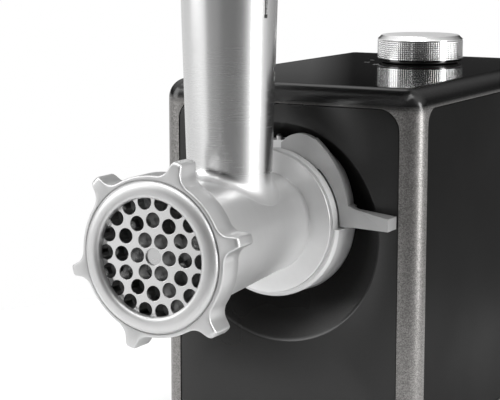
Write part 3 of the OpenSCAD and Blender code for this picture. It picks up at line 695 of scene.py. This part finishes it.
def barrel_r(y):
    """Outer radius of the barrel at y."""
    points = sorted((b, a) for a, b in BARREL)
    return float(np.interp(y, [p[0] for p in points], [p[1] for p in points]))


def round_profile(points, radii, steps=5):
    """Open profile with its inner corners rounded to the radii."""
    out = [points[0]]
    for before, here, after, r in zip(points, points[1:], points[2:], radii):
        a = Vector(before) - Vector(here)
        b = Vector(after) - Vector(here)
        half = a.angle(b) / 2
        reach = min(r / math.tan(half), a.length * 0.45, b.length * 0.45)
        start = Vector(here) + a.normalized() * reach
        end = Vector(here) + b.normalized() * reach
        for t in np.linspace(0, 1, steps + 1):
            s = 1 - t
            p = start * (s * s) + Vector(here) * (2 * s * t) + end * (t * t)
            out.append((p.x, p.y))
    out.append(points[-1])
    return out


def divided(points, length):
    """Same line with points at most that far apart."""
    out = [points[0]]
    for a, b in zip(points, points[1:]):
        steps = max(1, math.ceil(math.dist(a, b) / length))
        out += straight(a, b, steps)[1:]
    return out


def make_barrel():
    """Barrel, flange and spigot, hollow for the auger, with a throat under the feed tube."""
    front = drive_y(casting_lo.y)
    mouth = [(35, front), (38, front)]
    flange = [(29.2, -15.8), (42, -15.8), (42, -11.8), (36, -11.8)]
    spigot = [(36, 10), (20, 10)]
    rounds = [0.6, 2.5, 7, 6, 0.7, 0.8, 0.8, 0.5, 0.8]
    outside = round_profile(mouth + BARREL + flange + spigot, rounds)
    inside = [(20, -12.6), (24.3, -12.6), (29.5, -122.9), (35, -122.9)]
    profile = divided(outside, 6) + divided(inside, 10)
    barrel = revolve("head_barrel_casting", profile, (0, 0, 0), "Y", 144)
    bore = tube_r(0) - TUBE_WALL
    middle = 0.001
    funnel = [(middle, 0), (bore, 0), (bore + 1.2, 42), (middle, 42)]
    return cut(barrel, revolve("throat", funnel, (0, TUBE_Y, 0)))


def tube_section(c, s):
    """Section of the feed tube as (radius, z), in the direction with that cosine and sine."""
    foot = 3.0 + 4.0 * s * s
    top_wall = TUBE_TOP - 1.2

    def skin(r, deeper=0.0):
        """Height of the barrel's skin at that radius."""
        reach = barrel_r(TUBE_Y + r * s) - deeper
        return math.sqrt(max(reach * reach - (r * c) ** 2, 1))

    join_z = skin(tube_r(20))
    r0 = tube_r(join_z)
    r_half, r_foot = r0 + foot * 0.45, r0 + foot
    above = join_z + foot + 1
    curve = bezier(
        (r_foot, skin(r_foot) + 0.05),
        (r_half, skin(r_half) + 0.1),
        (r0, join_z + foot * 0.25),
        (tube_r(above), above),
        10,
    )
    skirt = [(r0 + foot * 0.5, skin(r0 + foot * 0.5) - 1.2), (r_foot, skin(r_foot) - 0.6)]
    shaft = [(tube_r(z), z) for z in np.linspace(above, top_wall, 24)][1:]
    rim_out = tube_r(TUBE_TOP)
    rim_in = rim_out - TUBE_WALL
    rim = arc(rim_out - 1, TUBE_TOP - 1, 1, 0, 90, 4)
    rim += arc(rim_in + 0.8, TUBE_TOP - 0.8, 0.8, 90, 180, 3)
    bottom = skin(tube_r(25) - TUBE_WALL, 4.0)
    bore = [(tube_r(z) - TUBE_WALL, z) for z in np.linspace(TUBE_TOP - 3, bottom, 14)]
    return skirt + curve + shaft + rim + bore


def make_tube():
    """Feed tube with its rim, running out into a small fillet where it stands on the barrel."""
    around = 160
    rings = []
    for i in range(around):
        a = 2 * math.pi * i / around
        c, s = math.cos(a), math.sin(a)
        rings.append([(r * c, TUBE_Y + r * s, z) for r, z in tube_section(c, s)])
    tube = loft("feed_tube_casting", rings, closed=True)
    slot = turned(round_rect(15, 35, -1.3, 1.3, 1.2, 4, 1), KEY_ANGLE, 0, TUBE_Y)
    return cut(tube, prism_z("slot", slot, TUBE_TOP - 20.5, TUBE_TOP + 5))


def make_thread():
    """Male thread for the ring nut, as a low ridge wound on the mouth of the casting."""
    pitch, turns, steps = 4, 4, 72
    run_out = 12
    root = 37.9
    rings = []
    start = drive_y(casting_lo.y) + 1.6
    for i in range(turns * steps + 1):
        a = 2 * math.pi * i / steps
        fade = min(1, i / run_out, (turns * steps - i) / run_out)
        crest = 38.05 + 0.27 * fade
        section = [(root, -1.1), (crest, -0.45), (crest, 0.45), (root, 1.1)]
        y0 = start + pitch * i / steps
        rings.append([(r * math.cos(a), y0 + dy, r * math.sin(a)) for r, dy in section])
    return loft("head_thread", rings)


finished(smooth(make_barrel(), 38), "head", "cast_head", "head_barrel", replaces=["head_casting"])
finished(smooth(make_tube(), 38), "head", "cast_head", "head_tube", replaces=["feed_tube"])
finished(smooth(make_thread(), 60), "head", "cast_head")


def make_ring_nut():
    """Ring nut: a soft convex lip, a fine step, and six lugs with round tips on a plain band."""
    front = drive_y(ring_lo.y)
    depth = 20
    # Radii of the band and of the lugs' tips, round of a lug's foot, and half the width of its tip
    band, tip, foot, half_tip = 42.5, 52, 9, 3.2
    first_lug = 13.5
    side = half_tip + foot
    reach = band + foot
    out = math.sqrt(reach ** 2 - side ** 2)
    lean = math.atan2(side, out)
    steps = 720
    radii = []
    for i in range(steps):
        a = math.radians(i * 360 / steps - first_lug)
        a = abs((a + math.pi / 6) % (math.pi / 3) - math.pi / 6)
        if a < math.atan2(half_tip, tip):
            r = tip / math.cos(a)
        elif a < math.atan2(half_tip, out):
            r = half_tip / math.sin(a)
        elif a < lean:
            d = lean - a
            r = reach * math.cos(d) - math.sqrt(max(foot ** 2 - (reach * math.sin(d)) ** 2, 0))
        else:
            r = band
        radii.append(min(r, tip))
    near = range(-6, 7)
    weights = np.exp(-(np.array(near) / 2.2) ** 2)
    weights /= weights.sum()
    soft = sum(w * np.roll(radii, k) for k, w in zip(near, weights))
    rings = []
    for i in range(steps):
        a = math.radians(i * 360 / steps)
        r = float(soft[i])
        lug = max(0, (r - band) / (tip - band))
        e = 1.0 + 1.4 * lug
        shoulder = 3.5 + 0.7 * lug
        section = [(39.2, depth), (r - 1.0, depth), (r - 0.3, depth - 0.3), (r, depth - 1.0), (r, 12)]
        section += arc(r - e, shoulder + e, e, 0, -90, 5)
        section += [(40.9, 3.4), (40.55, 3.5), (40.35, 4.1), (40.0, 4.1), (39.8, 3.3), (39.6, 2.7)]
        section += bezier((39.3, 2.1), (38.0, 0.5), (36.0, 0.0), (34.0, 0.0), 6)
        section += bezier((33.4, 0.0), (32.0, 0.05), (31.0, 0.9), (31.0, 2.2), 5)
        section += [(31.0, 4.4), (31.5, 5.0), (38.0, 5.0)]
        section += [(38.35, 5.4), (38.35, 12), (38.35, depth - 0.8)]
        rings.append([(p * math.cos(a), front + y, p * math.sin(a)) for p, y in section])
    return loft("ring_nut_casting", rings, closed=True)


finished(smooth(make_ring_nut(), 50), "ring", "cast_head", replaces=["ring_nut"])

# ---- knob ----

KNOB_R = (knob_hi.x - knob_lo.x) / 2 / MM
KNOB_H = (knob_hi.z - knob_lo.z) / MM


def make_knob():
    """Speed knob with square studs knurled into its side, a polished chamfer and a spun top."""
    columns, rows = 118, 9
    low, high = 1.2, KNOB_H - STUDS_DOWN
    inner, grooved = KNOB_R - 4, KNOB_R - GROOVE
    centre = (knob_lo + knob_hi) / 2
    cx, cy = centre.x / MM, drive_y(centre.y)
    base = drive_z(knob_lo.z)
    # Corners across one stud: its groove, and the two edges of its face
    across = [0.0, 0.2, 0.8]
    angles = [(i + u) / columns for i in range(columns) for u in across]
    levels = [(j + u) / rows for j in range(rows) for u in across] + [1.0]
    rings = []
    for k, turn in enumerate(angles):
        a = 2 * math.pi * turn
        in_column = k % 3 == 0
        section = [(inner, 4), (inner, 1.2), (KNOB_R - 2.8, 1.2), (KNOB_R - 2.8, 0)]
        section += [(KNOB_R - 0.7, 0), (grooved, 0.5)]
        for n, level in enumerate(levels):
            deep = in_column or n % 3 == 0
            section.append((grooved if deep else KNOB_R, low + (high - low) * level))
        section += [(grooved, high + 0.3), (KNOB_R - 0.1, high + 0.5), (KNOB_R - 0.1, high + 0.9)]
        section += [(KNOB_R - 0.4, high + 1.2), (KNOB_R - 2.6, KNOB_H - 0.35)]
        section += [(KNOB_R - 3.0, KNOB_H - 0.1), (KNOB_R - 3.6, KNOB_H), (KNOB_R * 0.5, KNOB_H)]
        section += [(0.4, KNOB_H), (0.4, KNOB_H - 4.8), (inner, KNOB_H - 4.8)]
        rings.append([(cx + r * math.cos(a), cy + r * math.sin(a), base + z) for r, z in section])
    return loft("speed_knob_turned", rings, closed=True)


finished(smooth(make_knob(), 12), "knob", "knob_metal", replaces=["speed_knob"])

# ---- tray and pusher ----

def make_tray():
    """Hopper tray pressed from sheet: neck, floor, round-cornered wall and a rolled rim."""
    half = tray_hi.x / MM
    y0, y1 = drive_y(tray_lo.y), drive_y(tray_hi.y)
    neck_low, top = drive_z(tray_lo.z), drive_z(tray_hi.z)
    floor = TUBE_TOP
    sheet = 1.6
    neck_r = 22.5
    bore_r = 21.2
    corner = 34
    rim = 4

    def shape(inset):
        """Outline of the tray, drawn in by inset."""
        return round_rect(-half + inset, half - inset, y0 + inset, y1 - inset, corner - inset, 12, 16)

    def wall(inset, z):
        """Ring of the wall or the rim."""
        return [(x, y, z) for x, y in shape(inset)]

    angles = [math.atan2(y - TUBE_Y, x) for x, y in shape(rim)]

    def circle(r, z):
        """Ring about the neck, with a point opposite every point of the wall."""
        return [(r * math.cos(a), TUBE_Y + r * math.sin(a), z) for a in angles]

    within = rim + sheet
    rings = [circle(bore_r, neck_low), circle(bore_r, floor - 3)]
    rings += [circle(r, z) for r, z in arc(bore_r + 4, floor + sheet - 4, 4, 180, 90, 6)]
    rings += [wall(d, z) for d, z in arc(within + 7, floor + sheet + 7, 7, 270, 180, 8)]
    rings += [wall(d, z) for d, z in arc(within - 2, top - 2, 2, 0, 90, 4)]
    rings += [wall(0.9, top), wall(0.25, top - 0.25), wall(0, top - 0.9), wall(0.25, top - 1.55)]
    rings += [wall(0.9, top - 1.8), wall(3.2, top - 1.8), wall(3.8, top - 2.1), wall(rim, top - 2.6)]
    rings += [wall(d, z) for d, z in arc(rim + 8, floor + 8, 8, 180, 270, 8)]
    rings += [circle(r, z) for r, z in arc(neck_r + 3, floor - 3, 3, 90, 180, 6)]
    rings += [circle(neck_r, neck_low)]
    return loft("hopper_tray_pressing", rings, closed=True)


def make_tray_key():
    """Small key on the neck that drops into the tube's slot."""
    outline = turned(round_rect(22, 25.4, -1, 1, 0.5, 3, 1), KEY_ANGLE, 0, TUBE_Y)
    return prism_z("hopper_tray_key", outline, TUBE_TOP - 18.6, TUBE_TOP - 2)


finished(smooth(make_tray(), 50), "tray", "tray_steel", replaces=["hopper_tray"])
finished(smooth(make_tray_key(), 40), "tray", "tray_steel")


def make_pusher():
    """Food pusher with a soft handle, turned about the feed tube's axis."""
    low, high = drive_z(pusher_lo.z), drive_z(pusher_hi.z)
    seat = TUBE_TOP + 1.7
    plunger = [(0.3, low), (17.9, low), (19.4, low + 2), (19.4, seat)]
    flange = [(29.6, seat), (30, seat + 1.6), (28, seat + 4.4)]
    waist = [(14.5, seat + 7.4), (11, seat + 18), (12, seat + 44)]
    head = [(19, seat + 53.4), (20, seat + 59), (16, high - 2.4), (0.3, high)]
    rounds = [2, 2, 0.6, 0.6, 2, 3, 9, 12, 14, 10, 6, 7]
    profile = round_profile(plunger + flange + waist + head, rounds)
    return revolve("food_pusher_moulding", divided(profile, 8), (0, TUBE_Y, 0), "Z", 96)


finished(smooth(make_pusher(), 40), "pusher", "black_plastic", replaces=["food_pusher"])

# ---- small marks round the knob ----

def make_marks():
    """Printed scale on the top plate: short strokes on an arc round the knob."""
    level = drive_z(top_hi.z)
    centre = (knob_lo + knob_hi) / 2
    cx, cy = centre.x / MM, drive_y(centre.y)
    start = KNOB_R + 5
    strokes = []
    for i, degrees in enumerate((150, 180, 210, 240)):
        outline = round_rect(start, start + 2 + i, -0.6, 0.6, 0.55, 4, 1)
        outline = turned(outline, degrees, cx, cy)
        strokes.append(prism_z(f"stroke_{i}", outline, level - 0.05, level + 0.04))
    return join("knob_scale", *strokes)


finished(smooth(make_marks(), 30), "housing", "gloss_top", "mark")

# ---- CAD parts that stay, with their edges softened ----

edge_widths = {
    "locking_lever": 1.3, "head_socket": 0.5, "top_plate": 0.6,
    "left_side_panel": 0.5, "right_side_panel": 0.5, "rear_cover": 0.4,
    "rubber_feet": 0.8, "base_plate": 0.5, "cord_gland": 0.4, "knob_hub": 0.3,
    "perforated_plate": 0.25, "knife": 0.25, "plate_key": 0.2,
    "rear_screws": 0.15, "foot_screws": 0.15,
}
for node, width in edge_widths.items():
    soften(frame["nodes"][node], width, 3 if width > 0.6 else 2)
dress(frame["nodes"]["perforated_plate"], "plate_steel")
dress(frame["nodes"]["locking_lever"], "lever_cast")
dress(frame["nodes"]["head_socket"], "collar")

# ---- floor, light and camera ----

def make_floor():
    """Pale round floor."""
    r = 0.45
    ring = [(r * math.cos(a), r * math.sin(a), 0) for a in np.radians(np.arange(0, 360, 3))]
    floor = new_piece("floor", ring, [tuple(range(len(ring)))])
    f = Finish("floor", Roughness=0.8)
    f.link(f.blend(f.noise(3, 2.0), grey(0.93), grey(0.9)), "Base Color")
    floor.data.materials.append(f.material)


make_floor()


# Brightness of the studio that shines in the object, by degrees from the front round to the right
WALLS = [
    (-180, 0.45), (-158, 0.2), (-154.8, 0.12), (-153, 0.92), (-128, 0.92), (-64, 0.9),
    (-34, 1.3), (-25, 0.5), (2, 0.42), (14, 0.27), (44, 0.24), (60, 0.30), (72, 0.62), (82, 1.15),
    (112, 1.15), (126, 0.85), (146, 0.55), (172, 0.40), (180, 0.45),
]
# Factor of that brightness by height, from straight down at 0 to straight up at 1
RISE = [
    (0.0, 0.9), (0.40, 1.0), (0.5, 0.9), (0.53, 0.2), (0.56, 0.035), (0.62, 0.05), (0.70, 0.5),
    (0.85, 1.1), (1.0, 1.3),
]


def make_world():
    """Studio round the object: white to the eye, with soft bright and dim walls for what shines."""
    world = bpy.data.worlds.new("studio")
    bpy.context.scene.world = world
    world.use_nodes = True
    tree = world.node_tree
    tree.nodes.clear()

    def value(operation, *numbers):
        """Sum, product or the like of values."""
        return add_node(tree, "ShaderNodeMath", dict(enumerate(numbers)), operation=operation).outputs[0]

    def mix(factor, a, b, **settings):
        """Colour between a and b."""
        inputs = {0: factor, 6: a, 7: b}
        return add_node(tree, "ShaderNodeMix", inputs, data_type="RGBA", **settings).outputs[2]

    def ramp(place, stops):
        """Grey that runs through the (position, tone) stops."""
        node = add_node(tree, "ShaderNodeValToRGB", {0: place})
        node.color_ramp.interpolation = "EASE"
        elements = node.color_ramp.elements
        while len(elements) > 1:
            elements.remove(elements[0])
        elements[0].position, elements[0].color = stops[0][0], grey(stops[0][1])
        for position, tone in stops[1:]:
            elements.new(position).color = grey(tone)
        return node.outputs[0]

    way = add_node(tree, "ShaderNodeTexCoord").outputs["Generated"]
    x, y, z = add_node(tree, "ShaderNodeSeparateXYZ", {0: way}).outputs
    turn = value("ARCTAN2", x, value("MULTIPLY", y, -1.0))
    around = value("ADD", value("DIVIDE", turn, 2 * math.pi), 0.5)
    walls = ramp(around, [(0.5 + degrees / 360, tone) for degrees, tone in WALLS])
    rise = ramp(value("MULTIPLY_ADD", z, 0.5, 0.5), RISE)
    shine = mix(1.0, walls, rise, blend_type="MULTIPLY")
    by_eye = add_node(tree, "ShaderNodeLightPath").outputs["Is Camera Ray"]
    colour = mix(by_eye, shine, grey(1.0))
    light = add_node(tree, "ShaderNodeBackground", {"Color": colour, "Strength": 1.0})
    add_node(tree, "ShaderNodeOutputWorld", {0: light.outputs[0]})


make_world()


def softbox(name, place, width, height, power, glossy=True):
    """Rectangular area light at a place, facing the drive axis; glossy lets it show in what shines."""
    data = bpy.data.lights.new(name, "AREA")
    data.shape = "RECTANGLE"
    data.size = width
    data.size_y = height
    data.energy = power
    lamp = add_object(name, data)
    lamp.location = place
    way = Vector((0, 0, AXIS_Z)) - Vector(place)
    lamp.rotation_euler = way.to_track_quat("-Z", "Y").to_euler()
    lamp.visible_glossy = glossy


softbox("top_light", (-0.1, -0.2, 1.5), 1.2, 1.0, 13)
softbox("left_light", (-1.3, -0.9, 0.8), 0.9, 1.2, 12)
softbox("right_light", (1.5, 0.1, 0.5), 0.35, 1.2, 14)
softbox("rear_light", (0.3, 1.5, 0.9), 1.0, 0.8, 8, glossy=False)

# The eye's place in metres from the drive axis at the housing's front, the angles of its view to
# the right of the front and above it, and its lens in millimetres
EYE = Vector((0.4492, -0.8482, 0.1676))
AZIMUTH = math.radians(28.86)
ELEVATION = math.radians(9.32)
LENS = 119.86


def make_camera():
    """Camera with a long lens, a little to the right of the front and above."""
    data = bpy.data.cameras.new("camera")
    data.sensor_width = 36
    data.lens = LENS
    data.clip_start = 0.05
    camera = add_object("camera", data)
    camera.location = drive(0, 0, 0) + EYE
    level = math.cos(ELEVATION)
    away = Vector((math.sin(AZIMUTH) * level, -math.cos(AZIMUTH) * level, math.sin(ELEVATION)))
    camera.rotation_euler = away.to_track_quat("Z", "Y").to_euler()
    bpy.context.scene.camera = camera


make_camera()
bpy.context.scene.view_settings.view_transform = "Standard"
